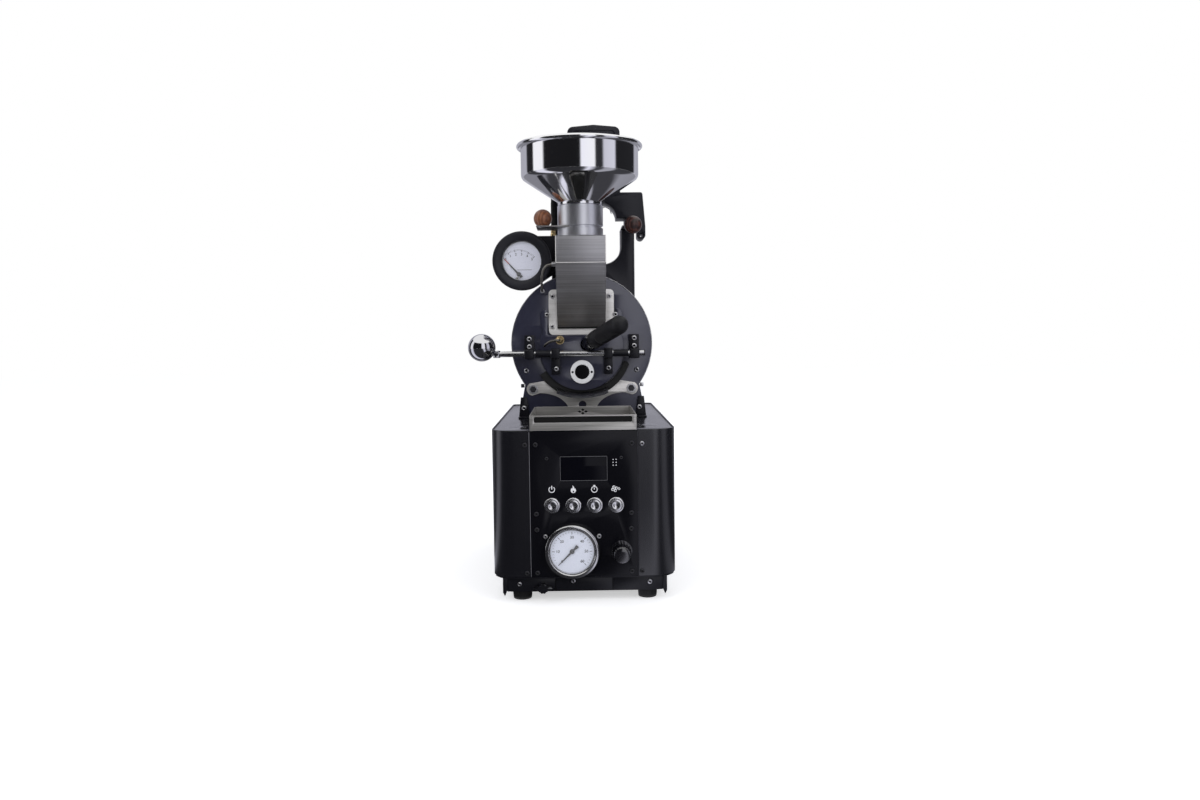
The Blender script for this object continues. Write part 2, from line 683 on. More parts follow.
# The gas regulator's spindle comes through the panel beside the gauge and carries a gloss black
# knob with a fluted skirt. A small winged knob on the valve stands out under the left seam.
knob_black = coated("knob_black", (0.006, 0.006, 0.008), 0.05, depth=0.0, dulling=0.03, coat=1.0,
                    reflect=1.0)
wing_place = (-50, 19)


def fluted(rings, lobes, dent, centre, count):
    """A body of fluted rings: each ring is (radius, depth, share of the flutes' dent)."""
    bm = bmesh.new()
    rows = []
    for radius, depth, share in rings:
        row = []
        for step in range(count):
            turn = math.tau * step / count
            reach = radius - dent * share * (1 - math.cos(lobes * turn)) / 2
            row.append(bm.verts.new((centre[0] + reach * math.cos(turn), depth,
                                     centre[1] + reach * math.sin(turn))))
        rows.append(row)
    for lower, upper in zip(rows, rows[1:]):
        for index in range(count):
            after = (index + 1) % count
            bm.faces.new((lower[index], lower[after], upper[after], upper[index]))
    bm.faces.new(rows[0])
    bm.faces.new(rows[-1])
    return bm


knob = fluted([(11.3, -3, 1), (11.4, -6, 1), (11, -17, 1), (10.7, -21, 1), (10.2, -23.6, 0.6),
               (9.4, -25.2, 0), (8, -26.2, 0), (6, -26.7, 0), (3.6, -26.95, 0), (1, -27, 0)],
              20, 0.8, knob_place, 120)
make_piece("fluted_regulator_knob", knob, knob_black, "regulator_knob", slot="gloss_plastic",
           body="regulator_knob")
escutcheon_profile = [(5.3, -0.1), (12.6, -0.1), (13, -0.7), (12.6, -2.3), (5.3, -2.6)]
make_piece("regulator_escutcheon", turned(escutcheon_profile, knob_place, 64), knob_black)

wing = fluted([(6, 5.6, 1), (6.5, 4.8, 1), (6.5, -6.6, 1), (5.6, -8, 0.4), (3.6, -8.3, 0)], 10, 0.7,
              wing_place, 80)
wing_plan = []
for step in range(48):
    turn = math.tau * step / 48
    pinch = 1 - 0.34 * math.sin(turn) ** 2
    swell = 0.72 + 0.28 * abs(math.cos(turn))
    wing_plan.append((wing_place[0] + 11.5 * math.cos(turn) * swell,
                      wing_place[1] + 3.4 * math.sin(turn) * pinch))
gather(wing, plate(wing_plan, -7.6, -0.6, edge=1.0), turned(rod(3, 5.5, 13.5), wing_place, 32))
make_piece("winged_valve_knob", wing, knob_black, "winged_knob", slot="gloss_plastic",
           body="winged_knob")

# Inside and behind the cabinet: the brass regulator and gas pipes, the burner bar under the slot,
# the fan under the tray, the deck plate, the vented rear panel and the power inlet.
deck_low, deck_high = 203.5, 206


def make_brush_lines():
    """Straight brush marks: noise stretched along one axis, as height, shine and shade."""
    pitches = ("Across X", "Across Y", "Across Z")
    group, into, out = effect(
        "brush_lines", {"Across X": 900.0, "Across Y": 12.0, "Across Z": 900.0, "Gloss": 0.28,
                        "Spread": 0.2}, ("Height", "Roughness", "Shade"))
    place = add(group, "TexCoord").outputs["Object"]
    pitch = add(group, "CombineXYZ", {index: into.outputs[label]
                                      for index, label in enumerate(pitches)})
    stretch = add(group, "VectorMath", {0: place, 1: pitch.outputs[0]}, operation="MULTIPLY")
    lines = add(group, "TexNoise", {"Vector": stretch.outputs[0], "Scale": 1,
                                    "Detail": 3}).outputs["Fac"]
    clouds = add(group, "TexNoise", {"Vector": place, "Scale": 18, "Detail": 3}).outputs["Fac"]
    both = add(group, "Math", {0: lines, 1: clouds}, operation="MULTIPLY")
    shine = add(group, "Math", {0: both.outputs[0], 1: into.outputs["Spread"],
                                2: into.outputs["Gloss"]}, operation="MULTIPLY_ADD")
    join(group, out, {"Height": lines, "Roughness": shine.outputs[0], "Shade": lines})
    return group


brush_lines = make_brush_lines()


def shaded(tree, mask, dark, light, low=0.0, high=1.0):
    """A colour between a dark and a light one, by a mask."""
    ramp = add(tree, "ValToRGB", {"Fac": mask})
    for stop, place, colour in zip(ramp.color_ramp.elements, (low, high), (dark, light)):
        stop.position = place
        stop.color = (*colour, 1)
    return ramp.outputs["Color"]


def brushed(name, dark, light, pitch, gloss=0.26, spread=0.25, depth=0.12, metal=1.0):
    """Brushed metal: the two colours of its marks, their pitch along X, Y and Z, and its metal."""
    material, tree, shader = new_material(name, {"Metallic": metal})
    grain = add(tree, "Group", {"Across X": pitch[0], "Across Y": pitch[1], "Across Z": pitch[2],
                                "Gloss": gloss, "Spread": spread}, node_tree=brush_lines)
    join(tree, shader, {"Base Color": shaded(tree, grain.outputs["Shade"], dark, light, 0.3, 0.7),
                        "Roughness": grain.outputs["Roughness"],
                        "Normal": raised(tree, grain, depth, 0.05)})
    return material


lengthwise_steel = brushed("steel_brushed_lengthwise", (0.36, 0.35, 0.34), (0.56, 0.55, 0.54),
                           (700, 10, 700))
crosswise_steel = brushed("steel_brushed_crosswise", (0.40, 0.39, 0.375), (0.60, 0.585, 0.57),
                          (10, 700, 700))
brass = polished("bare_brass", (0.86, 0.66, 0.34), 0.26)
moulded_black = coated("moulded_black", (0.012, 0.012, 0.014), 0.38, depth=0.1, reflect=0.4)
deck_black = coated("deck_gloss_black", (0.010, 0.010, 0.014), 0.12, depth=0.02, dulling=0.07,
                    reflect=0.4)
dress("gas_regulator", brass)
dress("gas_inlet_pipe", brass)
dress("gas_burner", crosswise_steel)
dress("cooling_fan_frame", moulded_black, 0.6)
dress("cooling_fan_impeller", moulded_black)
dress("rear_panel", satin_black, 0.25, 1)
dress("power_inlet", moulded_black, 0.6)

deck_plan = arc((-82, 28.4), 26, 180, 270, 12) + arc((82, 28.4), 26, 270, 360, 12)
deck_plan += arc((101.6, 401.6), 6.4, 0, 90, 6) + arc((-101.6, 401.6), 6.4, 90, 180, 6)
fan_hole, burner_slot = circle((0, 66), 43, 64), block((-13, 202), (13, 298), 2)
make_piece("gloss_deck", plate(deck_plan, deck_low, deck_high, [fan_hole, burner_slot], "Z"),
           deck_black, "top_deck", slot="deck_gloss")
pins = [bar((across - 0.9, 399, 60), (across + 0.9, 411, 64.5), 0.3) for across in (-57, -52, -47)]
make_piece("inlet_pins", gather(*pins), brass)
screw_heads("rear_panel_screws", [(-84, 410, 40), (84, 410, 40), (-84, 410, 198), (84, 410, 198),
                                  (0, 410, 198), (0, 410, 40)], 3, screw_black, axis=inward)

# The cooling tray is a folded pan of brushed stainless steel with a perforated floor over the fan.
# Its front wall has a long grip slot, and its back wall a cluster of diamond holes. Dark gauze lies
# behind both.
tray_low, tray_high = 206.5, 224.5
tray_half, tray_depth, tray_sheet = 63.3, 132, 1.2
hole_pitch, hole_row = 5.2, 4.6
tray_steel = brushed("tray_steel", (0.42, 0.41, 0.39), (0.66, 0.64, 0.61), (8, 8, 900), spread=0.3,
                     depth=0.06, metal=0.75)
floor_black = coated("tray_floor_coat", (0.012, 0.012, 0.012), 0.6, reflect=0.12)
floor_holes = [circle((x * hole_pitch + (2.6 if y % 2 else 0), 14 + y * hole_row), 1.25, 8)
               for y in range(23) for x in range(-10, 10)]
tray_floor = plate(block((-62.6, 0.6), (62.6, 131.4), 3), 206.3, 207.5, floor_holes, "Z", 0.1)
make_piece("holed_tray_floor", tray_floor, floor_black, body="tray")

grip_slot = block((-58, 216), (58, 222.8), 1.6)
diamond = ((2.6, 0), (0, 1.7), (-2.6, 0), (0, -1.7))
diamonds = [[(across + x, up + z) for x, z in diamond]
            for across, up in ((0, 219.7), (0, 215.3), (4.16, 217.5), (-4.16, 217.5))]
end_wall = block((-tray_half, tray_low), (tray_half, tray_high), 0.3)
side_wall = block((0, tray_low), (tray_depth, tray_high), 0.3)
tray = gather(plate(end_wall, 0, tray_sheet, [grip_slot], edge=0.25),
              plate(end_wall, tray_depth - tray_sheet, tray_depth, diamonds, edge=0.25),
              plate(side_wall, -tray_half, tray_sheet - tray_half, axis="X", edge=0.25),
              plate(side_wall, tray_half - tray_sheet, tray_half, axis="X", edge=0.25))
gauze = gather(bar((-9.5, 132.05, 211), (9.5, 132.4, 224), 0.1, 1),
               bar((-60.5, 1.35, 208), (60.5, 1.7, 223.6), 0.1, 1))
make_piece("vent_gauze", gauze, recess_dark, body="tray")
make_piece("perforated_cooling_tray", tray, tray_steel, "cooling_tray", slot="brushed_steel",
           body="tray")

# The front plate is a thick steel plate with a satin blue-grey coat. It carries the chute, the door
# and the spout, and a raised inner plate. Two folded brackets bolt its feet to the deck.
plate_grey = coated("plate_blue_grey", (0.022, 0.023, 0.046), 0.24, depth=0.05, coat=0.6,
                    dulling=0.14, reflect=1.0)
drum_height, waist_height = 306, 252
drum_middle, door_middle = (0, drum_height), (0, 300)
scoop_start = Vector((17, 155, 311))
scoop_axis = Vector((34, -88, 22)).normalized()
gland_place = (-29.5, 311)


def mirrored(outline):
    """The same outline on the machine's other side."""
    return [(-across, up) for across, up in outline[::-1]]


def scoop_hole(depth, radius=9.2, count=40):
    """The outline of the scoop's slanted hole where it meets a plane of constant depth."""
    across = scoop_axis.cross(Vector(upward)).normalized()
    up = across.cross(scoop_axis)
    points = []
    for step in range(count):
        turn = math.tau * step / count
        point = scoop_start + (across * math.cos(turn) + up * math.sin(turn)) * radius
        point += scoop_axis * (depth - point.y) / scoop_axis.y
        points.append((point.x, point.z))
    return points


mouth = block((-31.3, 332.5), (31.3, 372), 0.5)
discharge = arc(door_middle, 47, 195, 345, 48)
gland_hole = circle(gland_place, 2, 20)
plate_radius, foot_half, foot_height = 94.3, 86, 206.3
waist = math.degrees(math.asin((waist_height - drum_height) / plate_radius))
stand_plan = (arc(drum_middle, plate_radius, waist, 180 - waist, 96)
              + [(-foot_half, foot_height), (foot_half, foot_height)])
main_plate = plate(stand_plan, 179, 185, [mouth, discharge, scoop_hole(182), gland_hole], edge=0.6)
right_ear = ([(55.6, 334)] + arc((47.6, 345), 8, 0, 100, 10)
             + [(46, 351.5), (46, 319), (44.3, 317.3)])
raised_plan = right_ear + mirrored(right_ear) + arc(door_middle, 57, 155, 385, 72)
raised_plate = plate(raised_plan, 176, 179.2, [discharge, scoop_hole(177.5), gland_hole], edge=0.8)
make_piece("blue_grey_front_plate", gather(main_plate, raised_plate), plate_grey, "face_plate",
           slot="plate_grey")

brackets = bmesh.new()
for side in (-1, 1):
    near, far = sorted((side * 71.5, side * 86.5))
    flag = [(side * 71.5, 206.4), (side * 86.5, 206.4), (side * 83.6, 234), (side * 75.5, 234)]
    gather(brackets, plate(flag[::side], 176.8, 178.9, edge=0.4),
           bar((near, 164, 206.2), (far, 178.6, 208.2), 0.5))
make_piece("leg_brackets", brackets, satin_black, slot="black_coat")
screw_heads("front_plate_screws", [(-75.5, 179, 269.8), (74.2, 179, 269.9), (-79.4, 176.8, 219.4),
                                   (77.3, 176.8, 219.2)], 3.6, screw_steel, height=2.2)
screw_heads("raised_plate_screws", [(-46.6, 176, 345), (45.9, 176, 344.8)], 3.4, screw_steel,
            height=2)

# The drum housing is a rolled stainless drum jacket. Its bright front flange shows as a thin rim
# round the front plate, and its back wall stands on its own plate. The drum turns inside it, on the
# shaft of a motor behind.
rim_steel = brushed("rim_steel", (0.62, 0.61, 0.60), (0.80, 0.79, 0.78), (300, 300, 300),
                    gloss=0.25, spread=0.1)
jacket_steel = brushed("jacket_steel", (0.40, 0.40, 0.41), (0.60, 0.60, 0.61), (900, 6, 900),
                       gloss=0.24)
dress("drum_housing", jacket_steel)
rim_profile = [(86.5, 185.3), (95.2, 185.3), (95.8, 185.8), (95.8, 186.8), (95.2, 187.3),
               (89, 187.3)]
make_piece("housing_front_rim", turned(rim_profile, drum_middle, 160), rim_steel)
dress("drum", lengthwise_steel)
dress("rear_bearing", crosswise_steel)
dress("drive_coupling", crosswise_steel)
dress("motor_bracket", satin_black, 0.5)
motor_profile = [
    (0, 351), (4, 351), (4, 364), (9, 364), (9, 367.3), (29, 367.3), (30, 368.3), (30, 371.5),
    (29.4, 372), (29.4, 397), (30, 397.5), (30, 400), (29, 401.3), (12, 401.3), (12, 400.6),
    (6, 400.6), (6, 401.3), (0, 401.3)]
make_piece("turned_drive_motor", turned(motor_profile, drum_middle), jacket_steel, "drive_motor",
           slot="brushed_steel")
bearing_bolts = [(across, 331.5, up) for across, up in arc(drum_middle, 16, 45, 315, 3)]
screw_heads("bearing_screws", bearing_bolts, 2, screw_black, axis=inward)
screw_heads("bracket_screws", [(-24, 376, 209.3), (24, 376, 209.3)], 3, screw_steel, axis=upward)

# The bean door: a half-round plate on two arms, clamped to a rod that turns in two black blocks.
# A chromed ball on the rod's lever keeps it shut, and a ring with glass lets the roast be seen.
door_grey = coated("door_blue_grey", (0.020, 0.021, 0.042), 0.26, depth=0.05, coat=0.4,
                   dulling=0.14, reflect=0.9)
chrome = polished("chromed_ball", (0.72, 0.72, 0.74), 0.05, dulling=0.03)
rod_steel = polished("rod_steel", (0.66, 0.66, 0.66), 0.15)
arm_black = coated("arm_black", (0.007, 0.007, 0.010), 0.30, depth=0.08, reflect=0.35)
hinge = (0, 165, 293)
lever_foot = Vector((-114, 165, 293))
lever = Vector((-15, -48, 10))
sight = (0, 268)

door_start = 180 + math.degrees(math.asin(7 / 56.7))
door_plan = arc(door_middle, 56.7, door_start, 540 - door_start, 72)
make_piece("bean_door_plate", plate(door_plan, 169.7, 175.7, [circle(sight, 10)], edge=0.6),
           door_grey, "bean_door", slot="plate_grey", body="door")
hinge_profile = [(0, -113.9), (3.8, -113.9), (3.8, 83.2), (3.2, 84), (0, 84)]
door_rod = gather(spun(hinge_profile, hinge, rightward, 40),
                  spun(rod(3.6, 0, lever.length - 5), lever_foot, lever.normalized(), 40))
make_piece("door_rod_steel", door_rod, rod_steel, "door_rod", slot="brushed_steel", body="door")
arms = gather(spun([(3.9, -62), (4.7, -62), (4.7, -42), (3.9, -42)], hinge, rightward, 40),
              spun([(3.9, 42), (4.7, 42), (4.7, 62), (3.9, 62)], hinge, rightward, 40),
              spun(rod(3.9, 83.4, 84.4), hinge, rightward, 40))
for left, right in ((-41, -29.5), (29.5, 41)):
    gather(arms, bar((left, 165.5, 265), (right, 169.4, 300), 0.6),
           bar((left, 159.5, 286), (right, 169.4, 299.9), 1.4, 3))
knuckle = spun([(0, -4.8), (4.2, -4.8), (4.8, -4.2), (4.8, 4.2), (4.2, 4.8), (0, 4.8)], lever_foot,
               facets=40)
make_piece("lever_knuckle", knuckle, rod_steel, body="door")
make_piece("door_arms", arms, arm_black, body="door")
screw_heads("door_arm_screws", [(-34.6, 165.5, 272.4), (35.6, 165.5, 273)], 3.5, screw_steel,
            height=2, body="door")
ball_profile = [(0, -17)] + arc((0, 0), 17.7, -74, 86, 40) + [(0, 17.7)]
make_piece("chromed_door_ball", spun(ball_profile, lever_foot + lever, lever.normalized()), chrome,
           "door_ball", slot="polished_steel", body="door")

ring_white = coated("sight_ring_white", (0.78, 0.78, 0.79), 0.35, depth=0.02)
dark_glass = coated("sight_window_glass", (0.003, 0.003, 0.004), 0.08, depth=0.0, dulling=0.02,
                    reflect=0.3)
ring_profile = [(9.8, 169.4), (9.8, 166), (10.3, 165.5), (15.3, 165.5), (15.8, 166), (15.8, 169.4)]
make_piece("sight_glass_ring", turned(ring_profile, sight), ring_white, "sight_glass",
           slot="brushed_steel", body="door")
make_piece("sight_window", turned(rod(9.9, 166.6, 169), sight, 64), dark_glass, body="door")
screw_heads("sight_ring_screws", [(-12.8, 165.5, 268), (12.8, 165.5, 268)], 1.5, screw_black,
            height=0.7, body="door")

gasket_end = math.radians(338)
gasket_knob = (70 * math.cos(gasket_end) * 0.9, 300 + 62.5 * math.sin(gasket_end))
gasket_plan = arc(door_middle, 67.5, 212, 338, 60) + arc(gasket_knob, 5, 0, 150, 8)
gasket_plan += arc((2.5, 301.5), 57.8, 338, 212, 60)
make_piece("door_gasket", plate(gasket_plan, 174.2, 176.0, edge=0.4), rubber, slot="rubber")

blocks = bmesh.new()
for middle in (-70.5, 70.5):
    low, high = middle - 6.5, middle + 6.5
    gather(blocks, bar((low, 171.8, 287), (high, 178.7, 318), 0.8),
           bar((low, 157.9, 285.9), (high, 178, 299), 1.6, 3))
make_piece("pillow_blocks", blocks, arm_black, "pillow_block_left", "pillow_block_right",
           slot="black_coat")
screw_heads("pillow_block_screws", [(x, 171.8, z) for x in (-70.5, 70.5) for z in (302.4, 312.7)],
            3.7, screw_steel, height=2.2)

# The spout plate is cut from bright stainless sheet. Two ears hold it with dark hexagon bolts, a
# round hole is in its neck, and a shallow lip bends forward under the door.
spout_steel = brushed("spout_steel", (0.62, 0.60, 0.57), (0.80, 0.78, 0.75), (12, 500, 500),
                      spread=0.15, depth=0.04, metal=0.55)
ear_across, ear_height = 66.5, 245
bay_across, bay_radius, neck_half = 57.5, 27.3, 17.6
stretch = (bay_across - neck_half) / bay_radius
left_bay = [(-bay_across + across * stretch, up)
            for across, up in arc((0, 212), bay_radius, 90, 0, 24)]
ears = arc((ear_across, ear_height), 9, -80, 60, 12)
spout_plan = (ears + arc(door_middle, 58, 313, 227, 48) + mirrored(ears) + left_bay
              + mirrored(left_bay))
spout = plate(spout_plan, 177.2, 178.7, [circle((0, 223), 5.3, 32)])


def curved_lip(rows, thickness):
    """A bent tongue: each row is (depth, lowest height, half width, radius of its curve)."""
    bm = bmesh.new()
    grid = []
    for depth, height, half, radius in rows:
        reach = math.degrees(math.asin(half / radius))
        row = arc((0, height + radius), radius, 270 - reach, 270 + reach, 32)
        grid.append([bm.verts.new((across, depth, up)) for across, up in row])
    for lower, upper in zip(grid, grid[1:]):
        for index in range(len(lower) - 1):
            bm.faces.new((lower[index], lower[index + 1], upper[index + 1], upper[index]))
    bmesh.ops.solidify(bm, geom=list(bm.faces), thickness=thickness)
    return bm


lip = curved_lip([(178.4, 241.2, 34.5, 83), (170, 240.3, 34.3, 84), (150, 238, 34, 86),
                  (127, 235.2, 33.8, 88)], 1.1)
make_piece("spout_lip", lip, gauge_steel)
make_piece("stainless_spout", spout, spout_steel, "spout_plate", slot="brushed_steel")
bolts, washers = bmesh.new(), bmesh.new()
for across in (-ear_across, ear_across):
    place = (across, 177.2, ear_height)
    gather(bolts, spun([(0, 0), (4.4, 0), (4.4, 4), (3.8, 4.6), (0, 4.6)], place, outward, 6))
    gather(washers, spun([(0, 0), (6.4, 0), (6.4, 0.7), (6.1, 0.9), (0, 0.9)], place, outward, 40))
make_piece("spout_bolts", bolts, screw_black)
make_piece("spout_washers", washers, screw_steel)

# The sampling scoop slides in a black bush with a ribbed collar. Its grip is a fat black handle
# with a round nose, and its steel channel reaches into the drum.
grip_black = coated("grip_black", (0.010, 0.010, 0.012), 0.46, depth=0.15, peel=700, reflect=0.4)
along_scoop = aimed(scoop_start, scoop_axis)
bush = spun([(6, -38), (8.5, -38), (8.5, -13), (10.5, -13), (10.5, -2.6), (10, -2), (6, -2)],
            scoop_start, scoop_axis, 64)
make_piece("scoop_guide_bush", bush, knob_black, "scoop_bush", slot="gloss_plastic", body="bush")
ribs = bmesh.new()
for step in range(28):
    rib = bar((9.9, -0.55, -12.4), (10.9, 0.55, -3), 0.25, 1)
    rib.transform(along_scoop @ Matrix.Rotation(math.tau * step / 28, 4, "Z"))
    gather(ribs, rib)
make_piece("scoop_collar_ribs", ribs, knob_black, body="bush")
gutter = arc((0, 0), 5.6, 180, 360, 24)
channel = gather(plate(gutter + arc((0, 0), 4.4, 360, 180, 24), -94.5, -45, axis="Z", edge=0.2),
                 plate(gutter, -95, -94, axis="Z", edge=0.2), spun(rod(5.6, -45.2, -0.3)))
channel.transform(along_scoop)
make_piece("scoop_channel", channel, crosswise_steel, body="scoop")
nose = [(11.8 * math.cos(math.radians(a)), 84 + 13.6 * math.sin(math.radians(a)))
        for a in range(6, 90, 6)]
grip_profile = [(0, -0.2), (8.6, -0.2), (11.2, 1.5), (11.7, 3), (11.7, 15), (11, 16.5), (9.2, 18.5),
                (8.8, 20), (9.4, 22.5), (11.2, 25), (11.8, 28), (11.8, 84)] + nose + [(0, 97.6)]
make_piece("scoop_grip", spun(grip_profile, scoop_start, scoop_axis, 80), grip_black,
           "sampling_scoop", slot="black_plastic", body="scoop")

# The feed chute is folded from brushed stainless sheet, with heat marks towards its mouth, and is
# screwed to the front plate by its flange.
chute_front, chute_back, chute_half = 116, 178.6, 32.5
chute_top, chute_knee, chute_foot = 445.5, 411, 327


def make_heat_tint():
    """Between two heights in metres, clean steel above turns to straw and smoke bands below."""
    group, into, out = effect("heat_tint", {"Top": 0.425, "Bottom": 0.330, "Bands": 60.0},
                              ("Mask",))
    place = add(group, "SeparateXYZ", {0: add(group, "NewGeometry").outputs["Position"]})
    height = place.outputs["Z"]
    fall = add(group, "MapRange", {"Value": height, "From Min": into.outputs["Top"],
                                   "From Max": into.outputs["Bottom"]}, clamp=True)
    band = add(group, "TexNoise", {"W": height, "Scale": into.outputs["Bands"], "Detail": 2},
               noise_dimensions="1D")
    mixed = add(group, "Math", {0: fall.outputs["Result"], 1: band.outputs["Fac"]},
                operation="MULTIPLY")
    join(group, out, {"Mask": mixed.outputs[0]})
    return group


heat_tint = make_heat_tint()
chute_steel = brushed("chute_steel", (0.38, 0.375, 0.39), (0.54, 0.535, 0.555), (10, 700, 700),
                      gloss=0.36, depth=0.08, metal=0.78)
flange_steel = brushed("flange_steel", (0.76, 0.74, 0.71), (0.88, 0.86, 0.84), (12, 500, 500),
                       gloss=0.3, depth=0.05, metal=0.35)


def tint(material, smoke):
    """Lays the heat marks over a brushed metal's own colour."""
    tree = material.node_tree
    shader = next(node for node in tree.nodes if node.type == "BSDF_PRINCIPLED")
    own = shader.inputs["Base Color"].links[0].from_socket
    marks = add(tree, "Group", node_tree=heat_tint)
    mix = add(tree, "Mix", {0: marks.outputs["Mask"], 6: own, 7: (*smoke, 1)}, data_type="RGBA")
    join(tree, shader, {"Base Color": mix.outputs[2]})


tint(chute_steel, (0.13, 0.105, 0.075))
cheek = [(chute_front, chute_top), (chute_front, chute_knee), (176, chute_foot),
         (chute_back, chute_foot), (chute_back, chute_top)]
slide = gather(plate(cheek, -chute_half, -31.3, axis="X"), plate(cheek, 31.3, chute_half, axis="X"),
               bar((-32.3, 116, 411), (32.3, 117.2, 445.4), 0.3))
drop = Vector((0, 60, -84))
slope = bar((-32.3, 0, 0), (32.3, 1.2, drop.length), 0.3)
slope.transform(Matrix.Translation((0, chute_front, chute_knee))
                @ Matrix.Rotation(math.atan2(60, 84) + math.pi, 4, "X")
                @ Matrix.Diagonal((1, -1, 1, 1)))
lid = plate(block((-chute_half, chute_front), (chute_half, chute_back)), 444.3, chute_top,
            [circle((0, 148), 22)], "Z")
gather(slide, slope, lid, bar((-32.3, 177.3, 372), (32.3, 178.6, 445.4), 0.3))
make_piece("folded_feed_chute", slide, chute_steel, "feed_chute", slot="brushed_steel")
folds = [bar((across - 0.45, 115.7, 411), (across + 0.45, 116.3, 445.2), 0.2, 1)
         for across in (-32, 32)]
folds.append(bar((-32.3, 115.7, 410.5), (32.3, 116.3, 411.4), 0.2, 1))
make_piece("chute_bright_folds", gather(*folds), flange_steel)
make_piece("chute_weld", bar((-32.4, 173.4, 326.3), (32.4, 177.4, 328.2), 0.8), recess_dark)
make_piece("chute_flange", plate(block((-44, 318), (44, 379), 6), 177.2, 178.7, [mouth]),
           flange_steel)
screw_heads("chute_flange_screws", [(-38.8, 177.2, 369.8), (37.6, 177.2, 369.6),
                                    (-39.6, 177.2, 329.2), (38.5, 177.2, 329)], 3.1, screw_steel,
            height=1.9)

# The collar is turned from aluminium and stands on the chute. The gate is a thin steel plate that
# slides through it, with a waxed wooden ball as its handle.
feed_axis = (0, 148, 0)


def make_lathe_marks():
    """Fine lathe marks round a vertical axis, as height and shine."""
    group, into, out = effect("lathe_marks", {"Pitch": 2600.0, "Gloss": 0.2, "Spread": 0.15},
                              ("Height", "Roughness"))
    place = add(group, "SeparateXYZ", {0: add(group, "NewGeometry").outputs["Position"]})
    marks = add(group, "TexNoise", {"W": place.outputs["Z"], "Scale": into.outputs["Pitch"],
                                    "Detail": 2}, noise_dimensions="1D").outputs["Fac"]
    shine = add(group, "Math", {0: marks, 1: into.outputs["Spread"], 2: into.outputs["Gloss"]},
                operation="MULTIPLY_ADD")
    join(group, out, {"Height": marks, "Roughness": shine.outputs[0]})
    return group


lathe_marks = make_lathe_marks()


def lathed(name, colour, gloss, spread, pitch, depth):
    """Metal that was turned or spun about the feed's axis."""
    material, tree, shader = new_material(name, {"Base Color": (*colour, 1), "Metallic": 1})
    marks = add(tree, "Group", {"Gloss": gloss, "Spread": spread, "Pitch": pitch},
                node_tree=lathe_marks)
    join(tree, shader, {"Roughness": marks.outputs["Roughness"],
                        "Normal": raised(tree, marks, depth, 0.03)})
    return material


collar_metal = lathed("turned_aluminium", (0.92, 0.93, 0.97), 0.30, 0.2, 2600, 0.04)
collar_profile = [(22, 445.8), (29.2, 445.8), (29.75, 446.4), (29.75, 456.2), (29.3, 456.6),
                  (27.4, 456.7), (27.4, 459.3), (29.3, 459.4), (29.75, 459.8), (29.75, 485.4),
                  (29.2, 486), (22, 486)]
make_piece("turned_collar", spun(collar_profile, feed_axis, facets=128), collar_metal,
           "hopper_collar", slot="aluminium")
gate_plan = [(-57, 124.5), (0, 124.5)] + arc((0, 148), 23.5, -90, 90, 32)[1:-1]
gate_plan += [(0, 171.5), (-57, 171.5)]
make_piece("gate_slide_plate", plate(gate_plan, 457, 459, axis="Z"), crosswise_steel, "gate_plate",
           slot="brushed_steel", body="gate")


def make_wood_rings():
    """Growth rings and fine pores of turned wood, as a colour mask and a height."""
    group, into, out = effect("wood_rings", {"Ring Scale": 90.0, "Pore Scale": 900.0},
                              ("Mask", "Height"))
    tilt = add(group, "Mapping", {"Vector": add(group, "TexCoord").outputs["Object"],
                                  "Rotation": (0.5, 0.9, 0.2), "Scale": (1, 1, 0.35)}).outputs[0]
    rings = add(group, "TexWave", {"Vector": tilt, "Scale": into.outputs["Ring Scale"],
                                   "Distortion": 5, "Detail": 3, "Detail Scale": 1.4},
                wave_type="RINGS")
    pores = add(group, "TexNoise", {"Vector": tilt, "Scale": into.outputs["Pore Scale"],
                                    "Detail": 3}).outputs["Fac"]
    blend = add(group, "Math", {0: rings.outputs["Fac"], 1: pores}, operation="MULTIPLY")
    lifted = add(group, "Math", {0: blend.outputs[0], 1: 1.8}, operation="MULTIPLY")
    join(group, out, {"Mask": lifted.outputs[0], "Height": pores})
    return group


wood_rings = make_wood_rings()


def waxed_wood(name, dark, light):
    material, tree, shader = new_material(name, {"Roughness": 0.36, "Coat Weight": 0.25,
                                                 "Coat Roughness": 0.3})
    grain = add(tree, "Group", node_tree=wood_rings)
    join(tree, shader, {"Base Color": shaded(tree, grain.outputs["Mask"], dark, light),
                        "Normal": raised(tree, grain, 0.15, 0.05)})
    return material


def wooden_ball(name, centre, axis, wood, body, slot):
    profile = [(0, -11)] + arc((0, 0), 12, -66, 84, 25) + [(0, 12)]
    make_piece(name, spun(profile, centre, axis, 64), wood, f"{body}_ball", slot=slot, body=body)


brown_wood = waxed_wood("waxed_brown_wood", (0.13, 0.045, 0.020), (0.27, 0.105, 0.048))
walnut = waxed_wood("waxed_walnut", (0.018, 0.007, 0.006), (0.085, 0.030, 0.022))
wooden_ball("gate_knob_wood", (-49, 148, 470.3), upward, brown_wood, "gate", "light_wood")

